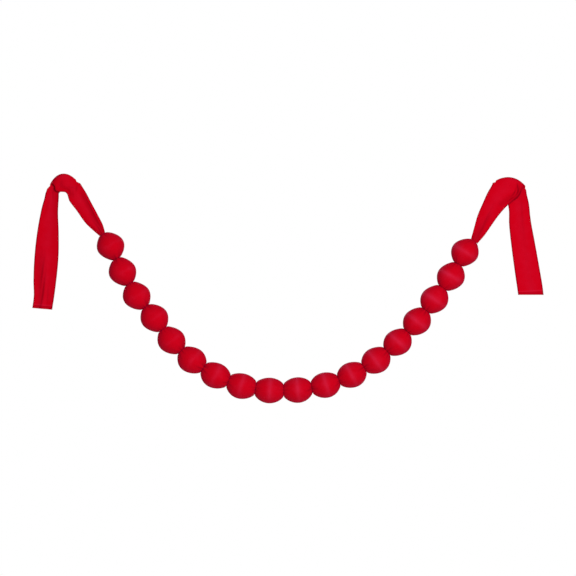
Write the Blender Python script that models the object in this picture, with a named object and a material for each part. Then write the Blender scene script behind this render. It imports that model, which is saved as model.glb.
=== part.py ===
"""Velvet ball garland, hung in a swag.

A velvet tube is drawn in between eighteen balls, and its two flat ends hang over hooks.
Units are metres, with +Z up, +X to the right and +Y away from the viewer. The origin is where
the cloth bears on the left hook. Tables are in millimetres and degrees.
"""

import math
from typing import NamedTuple

import bmesh
import bpy
from mathutils import Vector

MM = 0.001

# The space that parts one piece from the next.
PIECE_GAP = 0.3 * MM

# Balls and the necks between them. A ball's widest place is wider and lower than round by a share.
BALL_RADIUS = 28.0 * MM
BALL_SAG = 0.045
BALL_FULLNESS = 0.86
BALL_SIDES = 18
NECK_PLEATS = 9
TURN_PER_BALL = math.radians(37)

# A ball's rings from its neck to its widest place: where each is, as a share of the way out to the
# neck, and how deep its pleats are, as a share of its radius.
RING_SHARES = (1.0, 0.86, 0.70, 0.50, 0.26, 0.0)
PLEAT_DEPTHS = (0.08, 0.05, 0.02, 0.0, 0.0, 0.0)

# The string of balls: one link from the left tail to the first ball, one between each ball and the
# next, and one from the last ball to the right tail. A link's fall is its slope down to the right.
LINK_LENGTH = 59.3 * MM
FIRST_LINK_LENGTH = 29.6 * MM
LAST_LINK_LENGTH = 29.6 * MM
FIRST_FALL = 55
LINK_FALLS = (65, 60, 51, 53, 44, 33, 22, 9, -1, -10, -21, -31, -40, -47, -52, -54, -60)
LAST_FALL = -50

# Radius of each neck in millimetres, from the left tail's to the right tail's.
NECK_RADII = (8, 9, 10, 9.5, 10.5, 11, 12, 13, 13.5, 13, 12, 11.5, 11.5, 11.5, 10.5, 11, 11, 10, 8)

# Cloth of the tails: the tube pressed flat, two layers thick. Over the hook it is lifted between
# straight up and square to its bowed line, by a share of the way to square.
TAIL_WIDTH = 51.0
TAIL_THICKNESS = 2.4
MOST_THICKNESS_SHARE = 0.8
HEM_HEIGHT = 11.0
HEM_THICKENING = 1.3
HOOK_RADIUS = 4.5
BEND = HOOK_RADIUS + TAIL_THICKNESS / 2
STATION_STEP = 9.0
GATHER_REACH = 26.0
GATHER_DEPTH = 0.22
GATHER_RIDGES = 3
HEM_STEP = 0.5
LIFT_LEAN = 0.3
ACROSS = (-1, -0.97, -0.85, -0.65, -0.43, -0.22, 0, 0.22, 0.43, 0.65, 0.85, 0.97, 1)


class Section(NamedTuple):
    """One section of a tail, from the hook: its middle, its width and the slope of its width line,
    how far its ends stand below its middle in its own plane, how far they curl to the hook, and how
    far the cloth is lifted, up and a little square to that bowed line, as it goes over the hook."""

    x: float
    y: float
    z: float
    width: float
    tilt: float
    arch: float
    cup: float
    lift: float = 0


class Fold(NamedTuple):
    """A soft lengthwise trough: where it runs, as distance along the tail and as a share across it."""

    start: float
    end: float
    across_start: float
    across_end: float
    half_width: float
    depth: float


def over_hook(x, z, width, tilt, arch, cup, drift, spread):
    """Five sections of the half tube that the cloth makes over its hook, from front to back.

    The cloth drifts sideways and spreads on its way over, by as much before the top as behind it.
    """
    sections = []
    for step in range(5):
        turn = math.radians(45 * step)
        side = x + drift * math.cos(turn)
        wide = width - spread * math.cos(turn)
        lift = BEND * math.sin(turn)
        sections.append(Section(side, -BEND * math.cos(turn), z, wide, tilt, arch, cup, lift))
    return sections


LEFT_SECTIONS = (
    Section(82.1, 0.0, -126.0, 13.6, 35, 0, 0),
    Section(74.8, -0.8, -114.5, 21.7, 33, 0, 1),
    Section(60.1, -2.8, -94.3, 30.8, 36, 0, 2),
    Section(43.7, -5.0, -68.0, 34.9, 31, 0, 2),
    Section(30.1, -6.5, -46.4, 39.0, 27, 1, 1),
    Section(20.0, -BEND, -27.5, 37.0, 25, 3, 1),
    Section(7.6, -BEND, -19.0, 52.0, 18.5, 8.8, 2),
    *over_hook(-2.2, -5.4, 49.0, 10.5, 14.8, 2.2, 4.4, 1.4),
    Section(-15.5, BEND, -23.0, 41.5, 3, 10, 2.6),
    Section(-23.6, 6.0, -36.6, 28.0, 3, 3, 4),
    Section(-24.4, 6.5, -46.0, 28.6, -3, 1, 4),
    Section(-28.6, 7.6, -72.7, 34.2, -7, 0, 4),
    Section(-32.6, 7.6, -121.0, 45.0, -5, 0, 2),
    Section(-35.9, 6.8, -173.5, 50.4, -5, 0, 1),
    Section(-39.5, 6.0, -226.0, 47.5, -5, 0, 1),
    Section(-41.4, 6.2, -259.6, 42.5, -5, 0, 2),
    Section(-44.7, 6.6, -282.5, 41.8, -5, 0, 2),
)

RIGHT_SECTIONS = (
    Section(-68.8, 0.0, -132.6, 17.0, -38, 0, 0),
    Section(-58.0, -1.0, -112.3, 27.0, -35, 0, 1),
    Section(-46.6, -3.2, -88.0, 36.0, -34, 0, 2),
    Section(-33.6, -5.4, -64.9, 42.0, -33, 0, 1),
    Section(-21.0, -6.7, -45.0, 49.0, -36, 1, 0),
    Section(-6.6, -BEND, -27.3, 56.0, -38, 4, 1),
    Section(2.0, -BEND, -16.1, 62.0, -26, 8.6, 2.2),
    *over_hook(8.8, -5.2, 59.0, -10.5, 9.0, 2.4, -3, 0),
    Section(17.4, BEND, -25.6, 47.0, 4.5, 5, 2.6),
    Section(25.3, 6.2, -59.6, 43.6, 11, 1, 3),
    Section(27.5, 7.6, -88.4, 46.0, 11, 0, 1),
    Section(34.8, 7.6, -140.5, 50.0, 10, 0, 1),
    Section(42.9, 6.6, -192.6, 52.4, 10, 0, 1),
    Section(49.4, 6.4, -234.4, 53.4, 4, 0, 1),
    Section(50.8, 6.4, -245.3, 53.4, 0, 0, 1),
)

LEFT_FOLDS = (
    Fold(8, 112, 0.30, 0.48, 0.26, 2.6),
    Fold(96, 150, -0.75, -0.45, 0.22, 1.8),
    Fold(300, 520, -0.28, 0.06, 0.34, 3.4),
)

RIGHT_FOLDS = (
    Fold(8, 74, -0.10, 0.20, 0.24, 1.5),
    Fold(86, 132, 0.45, 0.72, 0.20, 2.4),
    Fold(190, 480, 0.36, 0.30, 0.40, 1.4),
)


def clear_scene():
    for obj in list(bpy.data.objects):
        bpy.data.objects.remove(obj)


def velvet(name, red, green, blue, roughness):
    """A matte pile cloth with a soft sheen."""
    material = bpy.data.materials.new(name)
    material.use_nodes = True
    shader = material.node_tree.nodes["Principled BSDF"]
    shader.inputs["Base Color"].default_value = (red, green, blue, 1)
    shader.inputs["Roughness"].default_value = roughness
    shader.inputs["Metallic"].default_value = 0
    shader.inputs["Sheen Weight"].default_value = 0.3
    return material


def add_object(name, mesh_builder, place, material, parent, collection):
    """One smooth-shaded node made from a bmesh whose points are measured from its place."""
    mesh = bpy.data.meshes.new(name)
    mesh_builder.to_mesh(mesh)
    mesh_builder.free()
    mesh.shade_smooth()
    mesh.set_sharp_from_angle(angle=math.radians(50))
    mesh.materials.append(material)
    obj = bpy.data.objects.new(name, mesh)
    obj.location = place
    obj.parent = parent
    collection.objects.link(obj)
    return obj


def direction(fall):
    """The way along a link that falls to the right by this many degrees."""
    return Vector((math.cos(math.radians(fall)), 0, -math.sin(math.radians(fall))))


def half_profile(reach, neck):
    """(distance from the middle, radius) of a ball's rings, from a neck's rim to the widest ring.

    The drawn-in cloth is fuller near the neck than a parabola.
    """
    swell = [(1 - share**2) ** BALL_FULLNESS for share in RING_SHARES]
    return [(share * reach, neck + (BALL_RADIUS - neck) * rise) for share, rise in zip(RING_SHARES, swell)]


def ball_mesh(way_in, way_out, reach_in, reach_out, neck_in, neck_out, turn):
    """A sphere whose rings are moved onto the ball's profile along its bent axis.

    The axis is a smooth curve from one neck through the ball's middle to the other neck.
    """
    builder = bmesh.new()
    ring_count = 2 * len(PLEAT_DEPTHS)
    bmesh.ops.create_uvsphere(builder, u_segments=BALL_SIDES, v_segments=ring_count, radius=1)
    halves = (half_profile(reach_out, neck_out), half_profile(reach_in, neck_in))
    side = Vector((0, 1, 0))
    for vert in builder.verts:
        ring = round(math.acos(max(-1, min(1, vert.co.z))) / math.pi * ring_count)
        half = 0 if ring <= ring_count / 2 else 1
        from_neck = min(ring, ring_count - ring)
        distance, radius = halves[half][max(from_neck - 1, 0)]
        azimuth = math.atan2(vert.co.y, vert.co.x)
        pleat = PLEAT_DEPTHS[max(from_neck - 1, 0)] * math.cos(NECK_PLEATS * azimuth)
        radius = 0 if from_neck == 0 else radius * (1 + pleat)
        share = distance / (reach_out if half == 0 else -reach_in)
        axis = way_in.lerp(way_out, (share + 1) / 2).normalized()
        up = axis.cross(side)
        neck_before, neck_after = -way_in * reach_in, way_out * reach_out
        middle = (neck_after - neck_before) * share / 2 + (neck_after + neck_before) * share**2 / 2
        vert.co = middle + radius * (side * math.cos(azimuth + turn) + up * math.sin(azimuth + turn))
        sag = BALL_SAG * (1 - share**2)
        vert.co.x *= 1 + sag
        vert.co.z *= 1 - sag
    return builder


def width_line(section):
    """The section's width line and the way up from it, in its own upright plane."""
    tilt = math.radians(section.tilt)
    return Vector((math.cos(tilt), 0, math.sin(tilt))), Vector((-math.sin(tilt), 0, math.cos(tilt)))


def middle_of(section):
    return Vector(section[:3]) + width_line(section)[1] * section.lift


def smooth_rows(rows):
    """Stations between the sections on smooth curves, a step apart along the cloth.

    Each column follows a cubic whose slope at a section is that of its two neighbours, weighed by
    how near they are. A station is (distance along the cloth, its Section).
    """
    runs = [(middle_of(b) - middle_of(a)).length for a, b in zip(rows, rows[1:])]
    rises = [[(q - p) / run for p, q in zip(a, b)] for a, b, run in zip(rows, rows[1:], runs)]
    slopes = [rises[0]]
    for before, after, near, far in zip(rises, rises[1:], runs, runs[1:]):
        slopes.append([(p * far + q * near) / (near + far) for p, q in zip(before, after)])
    slopes.append(rises[-1])
    stations = []
    along = 0
    for i, run in enumerate(runs):
        steps = max(2, round(run / STATION_STEP))
        for step in range(steps):
            t = step / steps
            weights = (2 * t**3 - 3 * t**2 + 1, t**3 - 2 * t**2 + t, 3 * t**2 - 2 * t**3, t**3 - t**2)
            columns = zip(rows[i], slopes[i], rows[i + 1], slopes[i + 1])
            values = [
                weights[0] * a + weights[1] * run * m + weights[2] * b + weights[3] * run * n
                for a, m, b, n in columns
            ]
            stations.append((along + t * run, Section(*values)))
        along += run
    stations.append((along, rows[-1]))
    return stations


def soft_step(value):
    """0 below 0, 1 above 1, and a smooth rise between."""
    t = max(0, min(1, value))
    return t * t * (3 - 2 * t)


def fold_depth(folds, along, across):
    """How far the troughs push this place of the cloth toward the hook."""
    depth = 0
    for fold in folds:
        share = (along - fold.start) / (fold.end - fold.start)
        fade = soft_step(4 * share) * soft_step(4 * (1 - share))
        middle = fold.across_start + (fold.across_end - fold.across_start) * share
        depth += fold.depth * fade * math.exp(-(((across - middle) / fold.half_width) ** 2))
    return depth


def middle_surface(stations, folds, neck_way):
    """Rows of points midway through the cloth, one row a station, from the left edge to the right."""
    middles = [middle_of(section) for _, section in stations]
    surface = []
    for i, (along, section) in enumerate(stations):
        ahead = middles[min(i + 1, len(middles) - 1)] - middles[max(i - 1, 0)]
        ahead = neck_way if i == 0 else ahead
        right, up = width_line(section)
        out = right.cross(ahead).normalized()
        row = []
        for across in ACROSS:
            inward = section.cup * across**2 + fold_depth(folds, along, across)
            bowed = right * (across * section.width / 2) - up * (section.arch * across**2)
            square = (up * (section.width / 2) + right * (2 * section.arch * across)).normalized()
            outward = Vector((0, out.y, 0)) + square * out.dot(up)
            lifted = up.lerp(square, LIFT_LEAN).normalized() * section.lift
            row.append(Vector(section[:3]) + bowed + lifted - outward * inward)
        surface.append(row)
    return surface


def half_thickness(section, along, length, across):
    """Half the cloth's thickness: gathered cloth is thicker, so the area of its section stays."""
    bow = (section.arch**2 + section.cup**2) / section.width**2
    width = section.width * (1 + 8 / 3 * bow)
    thickness = min(TAIL_WIDTH * TAIL_THICKNESS / width, MOST_THICKNESS_SHARE * width)
    thickness *= 1 + (HEM_THICKENING - 1) * soft_step((along - length + HEM_HEIGHT) / HEM_STEP)
    squareness = 2 + 6 * (1 - thickness / width) ** 4
    ridges = GATHER_DEPTH * math.exp(-along / GATHER_REACH) * math.cos(GATHER_RIDGES * math.pi * across)
    return thickness / 2 * (1 - abs(across) ** squareness) ** (1 / squareness) * (1 + ridges)


def tail_rings(rows, folds, neck_way):
    """The outlines of a tail's stations: left to right over its outer face and back over its inner one."""
    stations = smooth_rows(rows)
    surface = middle_surface(stations, folds, neck_way)
    length = stations[-1][0]
    last_row = len(surface) - 1
    last_point = len(ACROSS) - 1
    rings = []
    for i, (along, section) in enumerate(stations):
        outer = []
        inner = []
        for k, across in enumerate(ACROSS):
            ahead = surface[min(i + 1, last_row)][k] - surface[max(i - 1, 0)][k]
            ahead = neck_way if i == 0 else ahead
            sideways = surface[i][min(k + 1, last_point)] - surface[i][max(k - 1, 0)]
            offset = sideways.cross(ahead).normalized() * half_thickness(section, along, length, across)
            outer.append((surface[i][k] + offset) * MM)
            inner.append((surface[i][k] - offset) * MM)
        rings.append(outer + inner[-2:0:-1])
    return rings


def skin(rings):
    """A closed solid through outlines that have the same number of points."""
    builder = bmesh.new()
    loops = [[builder.verts.new(point) for point in ring] for ring in rings]
    for near, far in zip(loops, loops[1:]):
        for k in range(len(near)):
            builder.faces.new((near[k - 1], near[k], far[k], far[k - 1]))
    builder.faces.new(loops[0])
    builder.faces.new(loops[-1])
    bmesh.ops.recalc_face_normals(builder, faces=builder.faces)
    return builder


def string_of_balls(start):
    """(middles of the balls, ways of the links, end of the string) from where the string starts."""
    ways = [direction(fall) for fall in (FIRST_FALL, *LINK_FALLS, LAST_FALL)]
    middles = [start + ways[0] * FIRST_LINK_LENGTH]
    for way in ways[1:-1]:
        middles.append(middles[-1] + way * LINK_LENGTH)
    return middles, ways, middles[-1] + ways[-1] * LAST_LINK_LENGTH


def build():
    clear_scene()
    collection = bpy.data.collections.new("velvet_ball_garland")
    bpy.context.scene.collection.children.link(collection)
    garland = bpy.data.objects.new("garland", None)
    collection.objects.link(garland)
    ball_velvet = velvet("ball_velvet", 0.53, 0.002, 0.012, 0.75)
    tail_velvet = velvet("tail_velvet", 0.50, 0.001, 0.010, 0.8)

    left_neck = Vector(LEFT_SECTIONS[0][:3]) * MM
    middles, ways, right_neck = string_of_balls(left_neck)
    right_hook = right_neck - Vector(RIGHT_SECTIONS[0][:3]) * MM

    last = len(middles) - 1
    for i, middle in enumerate(middles):
        reach_in = (FIRST_LINK_LENGTH if i == 0 else LINK_LENGTH / 2) - PIECE_GAP / 2
        reach_out = (LAST_LINK_LENGTH if i == last else LINK_LENGTH / 2) - PIECE_GAP / 2
        neck_in, neck_out = NECK_RADII[i] * MM, NECK_RADII[i + 1] * MM
        turn = i * TURN_PER_BALL
        builder = ball_mesh(ways[i], ways[i + 1], reach_in, reach_out, neck_in, neck_out, turn)
        add_object(f"ball_{i + 1:02d}", builder, middle, ball_velvet, garland, collection)

    left = skin(tail_rings(LEFT_SECTIONS, LEFT_FOLDS, -ways[0]))
    add_object("tail_left", left, -ways[0] * PIECE_GAP / 2, tail_velvet, garland, collection)
    right = skin(tail_rings(RIGHT_SECTIONS, RIGHT_FOLDS, ways[-1]))
    place = right_hook + ways[-1] * PIECE_GAP / 2
    add_object("tail_right", right, place, tail_velvet, garland, collection)


build()
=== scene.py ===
"""Velvet ball garland: the looks of its balls and ribbon tails, and its studio.

The frame gives the solids, in metres, with +Z up and the origin where the cloth bears on the left
hook. Each solid is replaced by a finer surface of the same form, with the gathers, creases, hem and
pile that the real cloth has. Tables are in millimetres and degrees.
"""

import math
from typing import NamedTuple

import bmesh
import bpy
import numpy as np
from bpy.props import FloatProperty, FloatVectorProperty, PointerProperty
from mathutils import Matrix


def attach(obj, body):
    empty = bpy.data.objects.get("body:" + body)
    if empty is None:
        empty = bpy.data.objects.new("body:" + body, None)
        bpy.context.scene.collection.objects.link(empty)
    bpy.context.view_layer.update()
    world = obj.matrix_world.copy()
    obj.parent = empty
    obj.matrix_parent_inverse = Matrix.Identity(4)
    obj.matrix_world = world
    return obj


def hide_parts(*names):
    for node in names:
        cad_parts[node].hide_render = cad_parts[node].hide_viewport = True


bl_info = {
    "name": "Velvet Ball Garland",
    "version": (1, 0, 0),
    "blender": (4, 5, 0),
    "location": "View3D > Sidebar > Garland",
    "description": "Makes the velvet balls, the ribbon tails and the studio of a garland",
    "category": "Add Mesh",
}

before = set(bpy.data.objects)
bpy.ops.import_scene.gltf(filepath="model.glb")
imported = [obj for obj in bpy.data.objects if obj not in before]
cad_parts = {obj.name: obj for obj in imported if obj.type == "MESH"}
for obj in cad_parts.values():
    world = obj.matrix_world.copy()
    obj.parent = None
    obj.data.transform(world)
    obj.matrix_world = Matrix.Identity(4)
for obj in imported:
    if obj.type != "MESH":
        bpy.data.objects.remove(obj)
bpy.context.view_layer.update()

MM = 0.001
BACK = np.array([0.0, 1.0, 0.0])

# The string of balls, as the solids have it.
BALL_COUNT = 18
PIECE_GAP = 0.3 * MM
STRING_START = np.array([82.1, 0.0, -126.0]) * MM
FIRST_LINK = 29.6 * MM
LAST_LINK = 29.6 * MM
FIRST_FALL = 55
LINK_FALLS = (65, 60, 51, 53, 44, 33, 22, 9, -1, -10, -21, -31, -40, -47, -52, -54, -60)
LAST_FALL = -50
NECK_RADII_MM = (8, 9, 10, 9.5, 10.5, 11, 12, 13, 13.5, 13, 12, 11.5, 11.5, 11.5, 10.5, 11, 11, 10, 8)
NECK_RADII = np.array(NECK_RADII_MM) * MM
NECK_GAP = 0.04 * MM
BALL_FULLNESS = 0.86
BALL_RINGS = 104
BALL_SIDES = 144
BELT_WIDTH = 7 * MM
PINCH_LENGTH = 1.4 * MM
PINCH_SHARE = 0.08
SEAM_WIDTH = 1.0 * MM
SEAM_DEPTH = 0.55 * MM

# Low lumps on a ball: how high, how many round it, and how far they wind along it.
LUMPS = ((0.22 * MM, 2, 1), (0.16 * MM, 3, -2), (0.10 * MM, 5, 0))

# How strong the soft shine is, and how far the painted sheen and the lighter pile patches show, on the balls
# and on the tails.
BALL_SHINE, BALL_SHEEN_AND_BRUSHING = 0.12, 0.9
TAIL_SHINE, TAIL_SHEEN_AND_BRUSHING = 0.03, 0.45

# The ribbon tails: points along and across the cloth.
HOOK_BEND = 5.7
LIFT_LEAN = 0.3
STATION_STEP = 1.05
HEM_STATION_STEP = 0.35
ACROSS_COUNT = 92

# How much painted shade deepens the red on the hem, along the edges and on the ridge over the hook.
HEM_SHADE = 0.45
EDGE_SHADE = 0.9
RIDGE_SHADE = 0.35


class GarlandSizes(bpy.types.PropertyGroup):
    """Real sizes of the cloth and of what shapes it."""

    ball_radius: FloatProperty(
        name="Ball radius",
        description="Radius of a ball's widest ring",
        default=28 * MM,
        unit="LENGTH",
    )
    ball_sag: FloatProperty(
        name="Ball sag",
        description="How much wider and lower than round a ball's widest place is",
        default=0.045,
    )
    link_length: FloatProperty(
        name="Ball spacing",
        description="From one ball's middle to the next",
        default=59.3 * MM,
        unit="LENGTH",
    )
    belt_height: FloatProperty(
        name="Belt",
        description="How far the cloth stands out round a ball's middle",
        default=0.12 * MM,
        unit="LENGTH",
    )
    gather_depth: FloatProperty(
        name="Gather depth",
        description="Depth of the deepest gathers at a neck",
        default=1.1 * MM,
        unit="LENGTH",
    )
    gather_reach: FloatProperty(
        name="Gather reach",
        description="How far the longest gathers run onto a ball",
        default=12 * MM,
        unit="LENGTH",
    )
    ribbon_width: FloatProperty(
        name="Ribbon width",
        description="Width of the tube pressed flat",
        default=51 * MM,
        unit="LENGTH",
    )
    ribbon_thickness: FloatProperty(
        name="Ribbon thickness",
        description="Both layers of the flat tube",
        default=2.4 * MM,
        unit="LENGTH",
    )
    hem_height: FloatProperty(
        name="Hem height",
        description="From the end of a tail to its stitches",
        default=5.5 * MM,
        unit="LENGTH",
    )
    stitch_length: FloatProperty(
        name="Stitch length",
        description="From one stitch of the hem to the next",
        default=2.8 * MM,
        unit="LENGTH",
    )


class GarlandColours(bpy.types.PropertyGroup):
    """Colours of the velvet, as linear light."""

    pile: FloatVectorProperty(
        name="Pile",
        description="The velvet's own red",
        default=(0.56, 0.0001, 0.008),
        subtype="COLOR",
    )
    # This red is also the painted shade, mixed in where the cloth should lie in shade, as well as in darker
    # tufts of random tone.
    deep_pile_and_shade: FloatVectorProperty(
        name="Deep pile",
        description="The red in hollows and rubbed places",
        default=(0.26, 0.0001, 0.005),
        subtype="COLOR",
    )
    # This red is also the painted sheen, mixed in round the balls' middles and down the tails, as well as in
    # lighter patches of random tone.
    sheen_and_patch_red: FloatVectorProperty(
        name="Brushed pile",
        description="Red of the pile where it is brushed up",
        default=(0.60, 0.012, 0.045),
        subtype="COLOR",
    )
    shine: FloatVectorProperty(
        name="Shine",
        description="Tint of the soft shine",
        default=(1.0, 0.12, 0.35),
        subtype="COLOR",
    )
    patch_size: FloatProperty(
        name="Brushed patches",
        description="Size of the patches of brushed pile",
        default=16 * MM,
        unit="LENGTH",
    )
    pile_size: FloatProperty(
        name="Pile tufts",
        description="Size of the pile's tufts",
        default=0.7 * MM,
        unit="LENGTH",
    )


class GarlandStudio(bpy.types.PropertyGroup):
    """The floor, the light and the camera's distance."""

    floor_colour: FloatVectorProperty(
        name="Floor",
        description="Colour of the pale floor",
        default=(0.86, 0.86, 0.86),
        subtype="COLOR",
    )
    floor_drop: FloatProperty(
        name="Floor drop",
        description="How far the floor lies below the left hook",
        default=1.15,
        unit="LENGTH",
    )
    room_light: FloatProperty(
        name="Room light",
        description="Strength of the even light",
        default=0.30,
    )
    key_power: FloatProperty(
        name="Key light",
        description="Power of the soft front light",
        default=165,
        unit="POWER",
    )
    back_power: FloatProperty(
        name="Back light",
        description="Power of the weak light behind",
        default=45,
        unit="POWER",
    )
    camera_distance: FloatProperty(
        name="Camera distance",
        description="From the camera to the garland",
        default=6.0,
        unit="LENGTH",
    )
    frame_width: FloatProperty(
        name="Picture width",
        description="Width that the camera sees at the garland",
        default=1.2096,
        unit="LENGTH",
    )


class Section(NamedTuple):
    """One section of a tail, from its hook: its middle, its width and the slope of its width line,
    how far its ends stand below its middle in its own plane, how far they curl to the hook, and how
    far the cloth is lifted, up and a little square to that bowed line, as it goes over the hook."""

    x: float
    y: float
    z: float
    width: float
    tilt: float
    arch: float
    cup: float
    lift: float = 0


class Fold(NamedTuple):
    """A soft lengthwise trough: where it runs, as distance along the tail and as a share across it."""

    start: float
    end: float
    across_start: float
    across_end: float
    half_width: float
    depth: float


class Crease(NamedTuple):
    """A short crease: its middle, its half length and half width, the angle that it makes with the
    cloth's length, and its depth. A negative depth is a ridge."""

    along: float
    across: float
    half_length: float
    half_width: float
    lean: float
    depth: float


def over_hook(x, z, width, tilt, arch, cup, drift, spread):
    """Five sections of the half tube that the cloth makes over its hook, from front to back.

    The cloth drifts sideways and spreads on its way over, by as much before the top as behind it.
    """
    sections = []
    for step in range(5):
        turn = math.radians(45 * step)
        side = x + drift * math.cos(turn)
        wide = width - spread * math.cos(turn)
        lift = HOOK_BEND * math.sin(turn)
        sections.append(Section(side, -HOOK_BEND * math.cos(turn), z, wide, tilt, arch, cup, lift))
    return sections


LEFT_SECTIONS = (
    Section(82.1, 0.0, -126.0, 13.6, 35, 0, 0),
    Section(74.8, -0.8, -114.5, 21.7, 33, 0, 1),
    Section(60.1, -2.8, -94.3, 30.8, 36, 0, 2),
    Section(43.7, -5.0, -68.0, 34.9, 31, 0, 2),
    Section(30.1, -6.5, -46.4, 39.0, 27, 1, 1),
    Section(20.0, -HOOK_BEND, -27.5, 37.0, 25, 3, 1),
    Section(7.6, -HOOK_BEND, -19.0, 52.0, 18.5, 8.8, 2),
    *over_hook(-2.2, -5.4, 49.0, 10.5, 14.8, 2.2, 4.4, 1.4),
    Section(-15.5, HOOK_BEND, -23.0, 41.5, 3, 10, 2.6),
    Section(-23.6, 6.0, -36.6, 28.0, 3, 3, 4),
    Section(-24.4, 6.5, -46.0, 28.6, -3, 1, 4),
    Section(-28.6, 7.6, -72.7, 34.2, -7, 0, 4),
    Section(-32.6, 7.6, -121.0, 45.0, -5, 0, 2),
    Section(-35.9, 6.8, -173.5, 50.4, -5, 0, 1),
    Section(-39.5, 6.0, -226.0, 47.5, -5, 0, 1),
    Section(-41.4, 6.2, -259.6, 42.5, -5, 0, 2),
    Section(-44.7, 6.6, -282.5, 41.8, -5, 0, 2),
)

RIGHT_SECTIONS = (
    Section(-68.8, 0.0, -132.6, 17.0, -38, 0, 0),
    Section(-58.0, -1.0, -112.3, 27.0, -35, 0, 1),
    Section(-46.6, -3.2, -88.0, 36.0, -34, 0, 2),
    Section(-33.6, -5.4, -64.9, 42.0, -33, 0, 1),
    Section(-21.0, -6.7, -45.0, 49.0, -36, 1, 0),
    Section(-6.6, -HOOK_BEND, -27.3, 56.0, -38, 4, 1),
    Section(2.0, -HOOK_BEND, -16.1, 62.0, -26, 8.6, 2.2),
    *over_hook(8.8, -5.2, 59.0, -10.5, 9.0, 2.4, -3, 0),
    Section(17.4, HOOK_BEND, -25.6, 47.0, 4.5, 5, 2.6),
    Section(25.3, 6.2, -59.6, 43.6, 11, 1, 3),
    Section(27.5, 7.6, -88.4, 46.0, 11, 0, 1),
    Section(34.8, 7.6, -140.5, 50.0, 10, 0, 1),
    Section(42.9, 6.6, -192.6, 52.4, 10, 0, 1),
    Section(49.4, 6.4, -234.4, 53.4, 4, 0, 1),
    Section(50.8, 6.4, -245.3, 53.4, 0, 0, 1),
)

LEFT_FOLDS = (
    Fold(8, 112, 0.30, 0.48, 0.26, 2.6),
    Fold(96, 150, -0.75, -0.45, 0.22, 1.8),
    Fold(300, 520, -0.28, 0.06, 0.34, 3.4),
)

RIGHT_FOLDS = (
    Fold(8, 74, -0.10, 0.20, 0.24, 1.5),
    Fold(86, 132, 0.45, 0.72, 0.20, 2.4),
    Fold(190, 480, 0.36, 0.30, 0.40, 1.4),
)

# Creases that are too fine for the solids. They sink or lift the layer that they are on.
LEFT_CREASES = (
    Crease(58, 0.62, 34, 1.3, 3, 0.8),
    Crease(112, 0.30, 9, 2.2, 38, 0.5),
    Crease(118, -0.10, 7, 2.0, -42, 0.4),
    Crease(104, -0.35, 8, 1.8, 20, 0.4),
    Crease(191, 0.05, 6, 3.2, -35, 0.7),
    Crease(205, 0.10, 16, 2.2, 6, 0.5),
    Crease(232, -0.40, 22, 2.4, -5, 0.3),
    Crease(372, -0.26, 30, 2.2, -4, 0.8),
    Crease(412, -0.10, 34, 2.0, -4, 1.2),
    Crease(420, 0.34, 20, 1.8, 3, 0.5),
)

RIGHT_CREASES = (
    Crease(60, 0.05, 30, 1.4, -4, 0.3),
    Crease(133, 0.62, 7, 1.7, -14, 1.2),
    Crease(139, 0.78, 7, 1.7, -4, 1.5),
    Crease(144, 0.64, 5, 1.7, -30, 1.4),
    Crease(137, 0.94, 12, 1.8, 0, 1.4),
    Crease(122, 0.80, 12, 1.5, 4, 0.9),
    Crease(193, 0.03, 28, 3.4, -50, 1.5),
    Crease(240, 0.25, 40, 2.6, -2, 0.3),
)


class Wire:
    """A node's output, on which +, - and * add Math nodes."""

    def __init__(self, shader, socket):
        self.shader = shader
        self.socket = socket

    def maths(self, operation, first, second):
        return self.shader.node("ShaderNodeMath", {"operation": operation}, {0: first, 1: second})

    def __add__(self, other):
        return self.maths("ADD", self, other)

    def __radd__(self, other):
        return self.maths("ADD", other, self)

    def __sub__(self, other):
        return self.maths("SUBTRACT", self, other)

    def __rsub__(self, other):
        return self.maths("SUBTRACT", other, self)

    def __mul__(self, other):
        return self.maths("MULTIPLY", self, other)

    def __rmul__(self, other):
        return self.maths("MULTIPLY", other, self)


class Shader:
    """A node tree, and the one way in which its nodes are made."""

    def __init__(self, tree):
        self.tree = tree
        tree.nodes.clear()

    def node(self, kind, settings, sockets, output=0):
        """Adds a node: its settings first, then the values or links of its sockets."""
        node = self.tree.nodes.new(kind)
        for name, value in settings.items():
            setattr(node, name, value)
        for key, value in sockets.items():
            if isinstance(value, Wire):
                self.tree.links.new(value.socket, node.inputs[key])
            else:
                node.inputs[key].default_value = value
        return Wire(self, node.outputs[output]) if node.outputs else None


MIX_FACTOR, MIX_A, MIX_B, MIX_RESULT = 0, 6, 7, 2


def mix_colours(shader, share, first, second):
    """The first colour where the share is 0 and the second where it is 1."""
    sockets = {MIX_FACTOR: share, MIX_A: first, MIX_B: second}
    return shader.node("ShaderNodeMix", {"data_type": "RGBA"}, sockets, MIX_RESULT)


def opaque(colour):
    return (*colour, 1.0)


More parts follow.
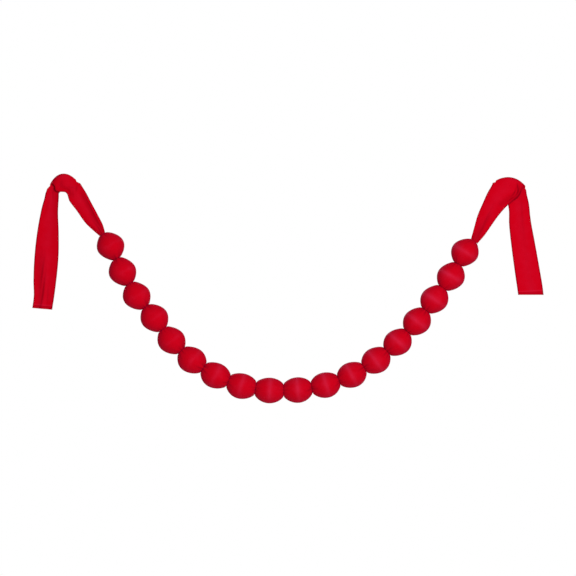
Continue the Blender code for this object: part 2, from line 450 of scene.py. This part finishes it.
def velvet(name, colours, shine, sheen_and_brushing):
    """Short red pile: lighter patches and darker tufts of random tone, painted sheen in a lighter red, and
    painted shade in a deeper red where the cloth lies in its hollows.
    """
    material = bpy.data.materials.new(name)
    material.use_nodes = True
    shader = Shader(material.node_tree)
    place = shader.node("ShaderNodeTexCoord", {}, {}, "Object")
    hollow = shader.node("ShaderNodeAttribute", {"attribute_name": "hollow"}, {}, "Fac")
    # Painted sheen: the attribute read here is a lighter band round each ball's middle and down each tail;
    # the noise patches added to it are pile of random tone.
    lifted = shader.node("ShaderNodeAttribute", {"attribute_name": "brushed"}, {}, "Fac")
    patch_sockets = {"Vector": place, "Scale": 1 / colours.patch_size, "Detail": 3.0, "Roughness": 0.6}
    patches = shader.node("ShaderNodeTexNoise", {}, patch_sockets)
    tuft_sockets = {"Vector": place, "Scale": 1 / colours.pile_size, "Detail": 2.0, "Roughness": 0.6}
    tufts = shader.node("ShaderNodeTexNoise", {}, tuft_sockets)
    brushed = shader.node(
        "ShaderNodeMapRange",
        {},
        {
            "Value": lifted * 0.6 + patches * 0.5 + (tufts - 0.5) * 0.15,
            "From Min": 0.3,
            "From Max": 0.95,
            "To Min": 0.0,
            "To Max": sheen_and_brushing,
        },
    )
    red = mix_colours(shader, brushed, opaque(colours.pile), opaque(colours.sheen_and_patch_red))
    speckle_range = {"Value": tufts, "From Min": 0.25, "From Max": 0.55, "To Min": 0.22, "To Max": 0.0}
    speckle = shader.node("ShaderNodeMapRange", {}, speckle_range)
    red = mix_colours(shader, speckle, red, opaque(colours.deep_pile_and_shade))
    # Painted shade: the deeper red goes where the cloth should lie in shade, in gathers, creases, troughs
    # and stitches, along the edges, on the hem, over the hook and inside the open ends.
    red = mix_colours(shader, hollow, red, opaque(colours.deep_pile_and_shade))
    bump = shader.node(
        "ShaderNodeBump", {}, {"Strength": 0.55, "Distance": 0.25 * MM, "Height": tufts + patches * 0.8}
    )
    surface = shader.node(
        "ShaderNodeBsdfPrincipled",
        {},
        {
            "Base Color": red,
            "Roughness": 0.78 - brushed * 0.2,
            "Normal": bump,
            "Specular IOR Level": shine,
            "Specular Tint": opaque(colours.shine),
            "Sheen Weight": 0.2,
            "Sheen Roughness": 0.5,
            "Sheen Tint": (0.16, 0.0, 0.22, 1.0),
        },
    )
    shader.node("ShaderNodeOutputMaterial", {}, {"Surface": surface})
    return material


def unit(vectors):
    return vectors / np.linalg.norm(vectors, axis=-1, keepdims=True)


def soft_step(values):
    """0 below 0, 1 above 1, and t * t * (3 - 2 * t) between."""
    t = np.clip(values, 0, 1)
    return t * t * (3 - 2 * t)


def closed_tube(name, rings, looks, material):
    """A closed mesh through rings of points, with one point at the middle of each end.

    rings[k, j] is point j of ring k. Its quads join it to the next point and the next ring. looks
    gives the material its values for each point: the painted shade, which is 1 at the bottom of a
    gather, and the painted sheen, which is highest where the red is lightest.
    """
    count, sides = rings.shape[:2]
    ends = np.stack([rings[0].mean(axis=0), rings[-1].mean(axis=0)])
    points = np.concatenate([rings.reshape(-1, 3), ends])
    ring, side = np.meshgrid(np.arange(count - 1), np.arange(sides), indexing="ij")
    following = (side + 1) % sides
    corners = [ring * sides + side, ring * sides + following]
    corners += [corners[1] + sides, corners[0] + sides]
    quads = np.stack(corners, axis=-1).reshape(-1, 4)
    around = np.arange(sides)
    onward = (around + 1) % sides
    first_fan = np.stack([onward, around, np.full(sides, count * sides)], axis=-1)
    last = (count - 1) * sides
    last_fan = np.stack([last + around, last + onward, np.full(sides, count * sides + 1)], axis=-1)
    mesh = bpy.data.meshes.new(name)
    mesh.from_pydata(points, [], quads.tolist() + first_fan.tolist() + last_fan.tolist())
    builder = bmesh.new()
    builder.from_mesh(mesh)
    bmesh.ops.recalc_face_normals(builder, faces=builder.faces)
    builder.to_mesh(mesh)
    builder.free()
    mesh.shade_smooth()
    for look, values in looks.items():
        attribute = mesh.attributes.new(look, "FLOAT", "POINT")
        ends_too = np.concatenate([values.ravel(), values.ravel()[[0, -1]]])
        attribute.data.foreach_set("value", ends_too.astype(np.float32))
    mesh.materials.append(material)
    obj = bpy.data.objects.new(name, mesh)
    bpy.context.scene.collection.objects.link(obj)
    return obj


def string_of_balls(link_length):
    """(middles of the balls, ways of the links, end of the string), from the left neck."""
    falls = np.radians([FIRST_FALL, *LINK_FALLS, LAST_FALL])
    ways = np.stack([np.cos(falls), np.zeros_like(falls), -np.sin(falls)], axis=1)
    lengths = np.array([FIRST_LINK, *[link_length] * len(LINK_FALLS), LAST_LINK])
    ends = STRING_START + np.cumsum(ways * lengths[:, None], axis=0)
    return ends[:-1], ways, ends[-1]


def ball_profile(distance, reach, neck, sizes):
    """Radius of a ball at a distance from its middle along its axis.

    The drawn-in cloth swells as neck + (radius - neck) * (1 - share^2)^fullness, where share is the
    part of the way out to the neck. A low soft belt exp(-(distance / width)^2) lifts the widest place,
    and the tie pinches the last stretch.
    """
    swell = np.maximum(1 - (distance / reach) ** 2, 0) ** BALL_FULLNESS
    profile = neck + (sizes.ball_radius - neck) * swell
    profile += sizes.belt_height * np.exp(-((distance / BELT_WIDTH) ** 2))
    pinch = soft_step((distance - reach + PINCH_LENGTH) / PINCH_LENGTH)
    return profile * (1 - PINCH_SHARE * pinch)


def neck_gathers(neck_number, distance, azimuth, radius, reach, sizes):
    """(depth, share of the deepest) of the gathers that run from a neck onto a ball.

    Each gather is a trough along the ball. Its depth fades as exp(-(run / length)**2) with the run
    from the neck, and as exp(-(arc / half width)**2) with the arc round the ball, and it opens out.
    """
    chance = np.random.default_rng(500 + neck_number)
    count = 13 + neck_number % 4
    middles = (np.arange(count) + chance.uniform(-0.32, 0.32, count)) * 2 * np.pi / count
    lengths = sizes.gather_reach * chance.uniform(0.35, 1.0, count)
    depths = sizes.gather_depth * chance.uniform(0.4, 1.0, count)
    widths = 1.1 * MM * chance.uniform(0.8, 1.35, count)
    run = np.maximum(reach - distance, 0)
    depth = np.zeros(np.broadcast(distance, azimuth).shape)
    for middle, length, deepest, width in zip(middles, lengths, depths, widths):
        turn = (azimuth - middle + np.pi) % (2 * np.pi) - np.pi
        half_width = width * (1 + run / (9 * MM))
        across = np.exp(-((turn * radius / half_width) ** 2))
        depth += deepest * across * np.exp(-((run / length) ** 2))
    return depth, np.clip(depth / sizes.gather_depth, 0, 1)


def ball_surface(number, ways, sizes):
    """Rings of one ball round its bent axis, from the neck before it to the neck after it.

    A ring's middle lies on the curve (b - a) s / 2 + (a + b) s^2 / 2 from the neck a to the neck b,
    where s runs from -1 to 1, and its plane turns evenly from one link's way to the other's. Its radius
    is the profile, plus low lumps that are waves round the ball, less the gathers of both necks and the
    long seam at the back. Last, the ball sags: it is made wider and lower by sag * (1 - s^2).
    """
    way_in, way_out = ways[number], ways[number + 1]
    reach_in = (FIRST_LINK if number == 0 else sizes.link_length / 2) - NECK_GAP / 2
    reach_out = (LAST_LINK if number == BALL_COUNT - 1 else sizes.link_length / 2) - NECK_GAP / 2
    neck_in, neck_out = NECK_RADII[number], NECK_RADII[number + 1]
    swing = np.linspace(-1, 1, BALL_RINGS)
    distance = np.where(swing < 0, reach_in, reach_out) * np.sin(swing * np.pi / 2)
    ahead = distance >= 0
    away = np.abs(distance)
    radius_in = ball_profile(away, reach_in, neck_in, sizes)
    radius = np.where(ahead, ball_profile(away, reach_out, neck_out, sizes), radius_in)
    share = (distance / np.where(ahead, reach_out, reach_in))[:, None]
    axis = unit(way_in + (way_out - way_in) * (share + 1) / 2)
    up = np.cross(axis, BACK)
    neck_before, neck_after = -way_in * reach_in, way_out * reach_out
    middle = (neck_after - neck_before) * share / 2 + (neck_after + neck_before) * share**2 / 2
    azimuth = np.linspace(0, 2 * np.pi, BALL_SIDES, endpoint=False)[None, :]

    chance = np.random.default_rng(40 + number)
    phases = chance.uniform(0, 2 * np.pi, len(LUMPS))
    calm = 1 - (away / np.where(ahead, reach_out, reach_in)) ** 2
    lumps = 0
    for (height, waves, winding), phase in zip(LUMPS, phases):
        lumps = lumps + height * np.cos(waves * azimuth + phase + winding * swing[:, None])
    lumps = lumps * calm[:, None]

    run, wide = away[:, None], radius[:, None]
    # The gathers' shares are painted shade, darkest at the bottom of each gather.
    gathers_in, hollow_in = neck_gathers(number, run, azimuth, wide, reach_in, sizes)
    gathers_out, hollow_out = neck_gathers(number + 1, run, azimuth, wide, reach_out, sizes)
    gathers = np.where(ahead[:, None], gathers_out, gathers_in)
    hollow = np.where(ahead[:, None], hollow_out, hollow_in)

    turn = (azimuth + np.pi) % (2 * np.pi) - np.pi
    seam = np.exp(-((turn * wide / SEAM_WIDTH) ** 2))
    gathers = gathers + SEAM_DEPTH * seam
    # Painted shade also along the seam groove at the back.
    hollow = np.maximum(hollow * 0.8, seam * 0.8)
    # Painted sheen: a lighter band round the ball's middle, brightest on the side toward the key light and
    # stronger from the fifth ball on.
    from_belt = (distance - chance.uniform(-1.5, 1.5) * MM)[:, None]
    belt = 0.55 * np.exp(-((from_belt / (4 * MM)) ** 2)) + 0.4 * np.exp(-((from_belt / (11 * MM)) ** 2))
    toward_light = np.clip(0.5 - 0.4 * np.cos(azimuth) + 0.35 * np.sin(azimuth), 0, 1)
    brushed = belt * (0.3 + 0.7 * soft_step((number - 4) / 5)) * toward_light

    lumpy = wide + lumps - gathers
    ring_way = BACK * np.cos(azimuth)[..., None] + up[:, None, :] * np.sin(azimuth)[..., None]
    points = middle[:, None, :] + lumpy[..., None] * ring_way
    sag = sizes.ball_sag * (1 - share**2)
    points *= np.stack([1 + sag, np.ones_like(sag), 1 - sag], axis=-1)
    return points, {"hollow": hollow, "brushed": brushed}


def carried_sections(rows, spots):
    """The tail's sections at distances along it, on smooth curves through the table's rows.

    Each column is the cubic a(2t^3 - 3t^2 + 1) + b(3t^2 - 2t^3) + run * (m(t^3 - 2t^2 + t) + n(t^3 -
    t^2)) between the rows a and b, where a slope m or n is that of both neighbours, weighed by how
    near they are.
    """
    table = np.array(rows, dtype=float)
    middles = section_middles(table)
    runs = np.linalg.norm(np.diff(middles, axis=0), axis=1)
    rises = np.diff(table, axis=0) / runs[:, None]
    near, far = runs[:-1, None], runs[1:, None]
    inner = (rises[:-1] * far + rises[1:] * near) / (near + far)
    slopes = np.concatenate([rises[:1], inner, rises[-1:]])
    starts = np.concatenate([[0], np.cumsum(runs)])
    part = np.clip(np.searchsorted(starts, spots, side="right") - 1, 0, len(runs) - 1)
    run = runs[part][:, None]
    t = ((spots - starts[part]) / runs[part])[:, None]
    here = table[part] * (2 * t**3 - 3 * t**2 + 1) + table[part + 1] * (3 * t**2 - 2 * t**3)
    return here + run * (slopes[part] * (t**3 - 2 * t**2 + t) + slopes[part + 1] * (t**3 - t**2))


def tail_length(rows):
    """Length of the tail along its middle."""
    return float(np.linalg.norm(np.diff(section_middles(np.array(rows, dtype=float)), axis=0), axis=1).sum())


def width_lines(table):
    """(way right, way up) of each section in its own upright plane."""
    tilt = np.radians(table[:, 4])
    level = np.zeros_like(tilt)
    right = np.stack([np.cos(tilt), level, np.sin(tilt)], axis=1)
    up = np.stack([-np.sin(tilt), level, np.cos(tilt)], axis=1)
    return right, up


def section_middles(table):
    return table[:, :3] + width_lines(table)[1] * table[:, 7:8]


def trough_depth(folds, along, across):
    """Depth of the lengthwise troughs: each fades at its ends and as exp(-(gap / half width)**2)."""
    depth = np.zeros(np.broadcast(along, across).shape)
    for fold in folds:
        share = (along - fold.start) / (fold.end - fold.start)
        fade = soft_step(4 * share) * soft_step(4 * (1 - share))
        middle = fold.across_start + (fold.across_end - fold.across_start) * share
        depth += fold.depth * fade * np.exp(-(((across - middle) / fold.half_width) ** 2))
    return depth


def crease_depth(creases, along, across, width):
    """Depth of the short creases: exp(-(run / half length)**2 - (gap / half width)**2), where run and
    gap are measured along and square to a line that leans from the cloth's length."""
    depth = np.zeros(np.broadcast(along, across).shape)
    for crease in creases:
        lean = math.radians(crease.lean)
        forth = along - crease.along
        aside = (across - crease.across) * width / 2
        run = forth * math.cos(lean) + aside * math.sin(lean)
        gap = aside * math.cos(lean) - forth * math.sin(lean)
        depth += crease.depth * np.exp(-((run / crease.half_length) ** 2) - (gap / crease.half_width) ** 2)
    return depth


def tail_gathers(seed, along, across, width):
    """Depth of the gathers that run up a tail from its neck, as neck_gathers does on a ball."""
    chance = np.random.default_rng(seed)
    count = 7
    depth = np.zeros(np.broadcast(along, across).shape)
    for number in range(count):
        middle = -0.88 + 1.76 * (number + chance.uniform(0.2, 0.8)) / count
        length = chance.uniform(14, 52)
        deepest = chance.uniform(0.5, 1.3)
        half_width = chance.uniform(0.9, 1.5) * (1 + along / 40)
        gap = (across - middle) * width / 2
        depth += deepest * np.exp(-((along / length) ** 2) - (gap / half_width) ** 2)
    return depth


def tail_surface(rows, folds, creases, seed, neck_way, sizes):
    """(rings, looks) of a tail in millimetres from its hook, from its neck to its hem.

    A section is a bowed line, lifted where it goes over the hook, and pushed in by its curl and its
    troughs. The two layers stand half the thickness off it along its own normal, with round edges:
    half * (1 - |across|^p)^(1/p). Creases, gathers and the hem's stitches sink the layer that they
    are on. The looks are those of closed_tube.
    """
    length = tail_length(rows)
    hem = sizes.hem_height / MM
    body = np.linspace(0, length - hem - 3, int((length - hem - 3) / STATION_STEP))
    end = np.linspace(length - hem - 3, length, int((hem + 3) / HEM_STATION_STEP))
    spots = np.concatenate([body, end[1:]])
    table = carried_sections(rows, spots)
    right, up = width_lines(table)
    middles = section_middles(table)
    ahead = np.gradient(middles, axis=0)
    ahead[0] = neck_way
    out = unit(np.cross(right, ahead))

    even = np.linspace(-1, 1, ACROSS_COUNT)
    across = (0.55 * even + 0.45 * np.sin(even * np.pi / 2))[None, :]
    along = spots[:, None]
    width, arch, cup, lift = (table[:, k][:, None] for k in (3, 5, 6, 7))
    troughs = trough_depth(folds, along, across)
    bowed = right[:, None] * (across * width / 2)[..., None] - up[:, None] * (arch * across**2)[..., None]
    square = unit(up[:, None] * (width / 2)[..., None] + right[:, None] * (2 * arch * across)[..., None])
    outward = square * (out * up).sum(axis=1)[:, None, None] + BACK * out[:, None, 1:2]
    inward = (cup * across**2 + troughs)[..., None]
    raised = unit(up[:, None] * (1 - LIFT_LEAN) + square * LIFT_LEAN) * lift[..., None]
    surface = table[:, None, :3] + bowed + raised - outward * inward

    forth = np.gradient(surface, axis=0)
    forth[0] = neck_way
    normal = unit(np.cross(np.gradient(surface, axis=1), forth))
    cloth_width = width * (1 + 8 / 3 * (arch**2 + cup**2) / width**2)
    flat = sizes.ribbon_width * sizes.ribbon_thickness / MM**2
    thickness = np.minimum(flat / cloth_width, 0.8 * cloth_width)
    hemmed = soft_step((along - length + hem) / 0.8)
    squareness = 2 + 6 * (1 - thickness / cloth_width) ** 4
    edge = (1 - np.abs(across) ** squareness) ** (1 / squareness)
    half = thickness / 2 * (1 + 0.25 * hemmed) * edge

    stitch_wave = 0.5 - 0.5 * np.cos(2 * np.pi * across * width / 2 / (sizes.stitch_length / MM))
    stitches = np.exp(-(((along - length + hem) / 0.8) ** 2)) * (0.25 + 0.4 * stitch_wave)
    # Painted shade: deeper red on the hem, along both edges away from the hook and on the ridge over the
    # hook.
    hem_shade = HEM_SHADE * soft_step((along - length + hem - 1) / 1.5)
    from_hook = along - spots[np.argmax(table[:, 7])]
    ridge = np.exp(-((from_hook / 5) ** 2))
    away_from_hook = 1 - np.exp(-((from_hook / 26) ** 2))
    edge_shade = EDGE_SHADE * soft_step((np.abs(across) - 0.86) / 0.12) * away_from_hook
    fine = crease_depth(creases, along, across, width)
    front = tail_gathers(seed, along, across, width)
    behind = tail_gathers(seed + 1, along, across, width)
    flow = np.minimum(half, 1.0)
    outer = surface + normal * (half - (front + fine + stitches) * flow)[..., None]
    inner = surface - normal * (half - (behind + 0.6 * fine + stitches) * flow)[..., None]
    # Painted shade: the hem, edge and ridge shade, the stitches, the creases, the gathers and the troughs
    # all deepen the red.
    shade = hem_shade + edge_shade + stitches + RIDGE_SHADE * ridge
    outer_hollow = np.clip(front * 0.5 + fine * 0.6 + troughs * 0.12 + shade, 0, 1)
    inner_hollow = np.clip(behind * 0.5 + fine * 0.6 + troughs * 0.02 + shade, 0, 1)
    rings = np.concatenate([outer, inner[:, -2:0:-1]], axis=1)
    hollow = np.concatenate([outer_hollow, inner_hollow[:, -2:0:-1]], axis=1)

    mouth = open_mouth(surface[-1], normal[-1], half[-1], forth[-1])
    rings = np.concatenate([rings, mouth])
    # Painted shade: the open end is the deeper red all over.
    hollow = np.concatenate([hollow, np.ones(mouth.shape[:2])])
    # Painted sheen: a lighter middle down each layer, and a lighter band just above the hem.
    above_hem = 0.9 * np.exp(-(((along - length + hem + 2.6) / 1.5) ** 2))
    brushed_layer = 0.4 * np.exp(-((across / 0.6) ** 2)) + above_hem
    brushed = np.concatenate([brushed_layer, brushed_layer[:, -2:0:-1]], axis=1)
    brushed = np.concatenate([brushed, np.zeros(mouth.shape[:2])])
    return rings, {"hollow": hollow, "brushed": brushed}


def open_mouth(line, normal, half, forth):
    """Three rings that turn the tube's open end in between its two layers and a little way up."""
    back = -unit(forth)
    shrunk = line.mean(axis=0) + (line - line.mean(axis=0)) * 0.975
    rings = []
    for share, depth in ((0.62, 0.0), (0.30, 0.6), (0.22, 4.0)):
        outer = shrunk + normal * (half * share)[:, None] + back * depth
        inner = shrunk - normal * (half * share)[:, None] + back * depth
        rings.append(np.concatenate([outer, inner[-2:0:-1]]))
    return np.stack(rings)


def add_tail(name, node, tables, seed, neck_way, hook):
    """One ribbon tail, in place of its solid, from its tables of sections, folds and creases."""
    scene = bpy.context.scene
    rows, folds, creases = tables
    rings, looks = tail_surface(rows, folds, creases, seed, neck_way, scene.garland_sizes)
    material = velvet(name + "_velvet", scene.garland_colours, TAIL_SHINE, TAIL_SHEEN_AND_BRUSHING)
    tail = closed_tube(name, rings * MM + hook, looks, material)
    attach(tail, "root")
    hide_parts(node)
    flat_length = tail_length(rows) * MM


class GARLAND_OT_balls(bpy.types.Operator):
    """Make the velvet balls, with the gathers at their necks"""

    bl_idname = "garland.balls"
    bl_label = "Balls"

    def execute(self, context):
        sizes = context.scene.garland_sizes
        middles, ways, _ = string_of_balls(sizes.link_length)
        material = velvet("ball_velvet_pile", context.scene.garland_colours, BALL_SHINE, BALL_SHEEN_AND_BRUSHING)
        for number, middle in enumerate(middles):
            rings, looks = ball_surface(number, ways, sizes)
            ball = closed_tube(f"velvet_ball_{number + 1:02d}", rings + middle, looks, material)
            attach(ball, "root")
            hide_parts(f"ball_{number + 1:02d}")
        return {"FINISHED"}


class GARLAND_OT_left_tail(bpy.types.Operator):
    """Make the left ribbon tail, over its hook"""

    bl_idname = "garland.left_tail"
    bl_label = "Left tail"

    def execute(self, context):
        _, ways, _ = string_of_balls(context.scene.garland_sizes.link_length)
        place = -ways[0] * PIECE_GAP / 2
        tables = (LEFT_SECTIONS, LEFT_FOLDS, LEFT_CREASES)
        add_tail("left_ribbon_tail", "tail_left", tables, 71, -ways[0], place)
        return {"FINISHED"}


class GARLAND_OT_right_tail(bpy.types.Operator):
    """Make the right ribbon tail, over its hook"""

    bl_idname = "garland.right_tail"
    bl_label = "Right tail"

    def execute(self, context):
        _, ways, end = string_of_balls(context.scene.garland_sizes.link_length)
        place = end - np.array(RIGHT_SECTIONS[0][:3]) * MM + ways[-1] * PIECE_GAP / 2
        tables = (RIGHT_SECTIONS, RIGHT_FOLDS, RIGHT_CREASES)
        add_tail("right_ribbon_tail", "tail_right", tables, 83, ways[-1], place)
        return {"FINISHED"}


def add_light(name, power, size, place, aim):
    """A square soft light that faces a point."""
    light = bpy.data.lights.new(name, "AREA")
    light.energy = power
    light.size = size
    obj = bpy.data.objects.new(name, light)
    obj.location = place
    way = np.array(aim) - np.array(place)
    obj.rotation_euler = (math.atan2(math.hypot(way[0], way[1]), -way[2]), 0, math.atan2(-way[0], way[1]))
    bpy.context.scene.collection.objects.link(obj)


class GARLAND_OT_studio(bpy.types.Operator):
    """Make the pale floor, the soft light and the camera"""

    bl_idname = "garland.studio"
    bl_label = "Studio"

    def execute(self, context):
        scene = context.scene
        studio = scene.garland_studio
        middle = (471.7 * MM, 0.0, -238.6 * MM)

        half = 1.6
        floor_mesh = bpy.data.meshes.new("studio_floor")
        turns = ((-1, -1), (1, -1), (1, 1), (-1, 1))
        corners = [(middle[0] + x * half, y * half, -studio.floor_drop) for x, y in turns]
        floor_mesh.from_pydata(corners, [], [(0, 1, 2, 3)])
        floor = bpy.data.objects.new("studio_floor", floor_mesh)
        scene.collection.objects.link(floor)
        paint = bpy.data.materials.new("pale_floor")
        paint.use_nodes = True
        shader = Shader(paint.node_tree)
        place = shader.node("ShaderNodeTexCoord", {}, {}, "Object")
        grain = shader.node("ShaderNodeTexNoise", {}, {"Vector": place, "Scale": 60.0, "Detail": 3.0})
        surface = shader.node(
            "ShaderNodeBsdfPrincipled",
            {},
            {"Base Color": opaque(studio.floor_colour), "Roughness": 0.8 + grain * 0.1},
        )
        shader.node("ShaderNodeOutputMaterial", {}, {"Surface": surface})
        floor_mesh.materials.append(paint)

        world = bpy.data.worlds.new("pale_room")
        world.use_nodes = True
        scene.world = world
        shader = Shader(world.node_tree)
        seen = shader.node("ShaderNodeLightPath", {}, {}, "Is Camera Ray")
        warm = (1.0, 0.98, 0.98, 1.0)
        lit = shader.node("ShaderNodeBackground", {}, {"Color": warm, "Strength": studio.room_light})
        shown = shader.node("ShaderNodeBackground", {}, {"Color": (1.0, 1.0, 1.0, 1.0), "Strength": 1.0})
        both = shader.node("ShaderNodeMixShader", {}, {0: seen, 1: lit, 2: shown})
        shader.node("ShaderNodeOutputWorld", {}, {"Surface": both})

        add_light("key_light", studio.key_power, 1.6, (middle[0] + 1.3, -4.3, middle[2] + 1.1), middle)
        add_light("back_light", studio.back_power, 2.4, (middle[0] - 1.0, 4.2, middle[2] + 1.3), middle)

        camera_data = bpy.data.cameras.new("camera")
        camera_data.sensor_width = 36
        camera_data.lens = 36 * studio.camera_distance / studio.frame_width
        camera_data.clip_end = 50
        camera = bpy.data.objects.new("camera", camera_data)
        camera.location = (middle[0], -studio.camera_distance, middle[2])
        camera.rotation_euler = (math.pi / 2, 0, 0)
        scene.collection.objects.link(camera)
        scene.camera = camera
        scene.view_settings.view_transform = "Standard"
        return {"FINISHED"}


class GARLAND_PT_panel(bpy.types.Panel):
    """Sizes, colours and buttons of the garland"""

    bl_idname = "GARLAND_PT_panel"
    bl_label = "Velvet Ball Garland"
    bl_space_type = "VIEW_3D"
    bl_region_type = "UI"
    bl_category = "Garland"

    def draw(self, context):
        scene = context.scene
        for group in (scene.garland_sizes, scene.garland_colours, scene.garland_studio):
            for name in group.__annotations__:
                self.layout.prop(group, name)
        for operator in OPERATORS:
            self.layout.operator(operator.bl_idname)


OPERATORS = (GARLAND_OT_balls, GARLAND_OT_left_tail, GARLAND_OT_right_tail, GARLAND_OT_studio)
CLASSES = (GarlandSizes, GarlandColours, GarlandStudio, *OPERATORS, GARLAND_PT_panel)


def register():
    for cls in CLASSES:
        bpy.utils.register_class(cls)
    bpy.types.Scene.garland_sizes = PointerProperty(type=GarlandSizes)
    bpy.types.Scene.garland_colours = PointerProperty(type=GarlandColours)
    bpy.types.Scene.garland_studio = PointerProperty(type=GarlandStudio)


def unregister():
    del bpy.types.Scene.garland_studio
    del bpy.types.Scene.garland_colours
    del bpy.types.Scene.garland_sizes
    for cls in reversed(CLASSES):
        bpy.utils.unregister_class(cls)


def main():
    register()
    bpy.ops.garland.balls()
    bpy.ops.garland.left_tail()
    bpy.ops.garland.right_tail()
    bpy.ops.garland.studio()


if __name__ == "__main__":
    main()
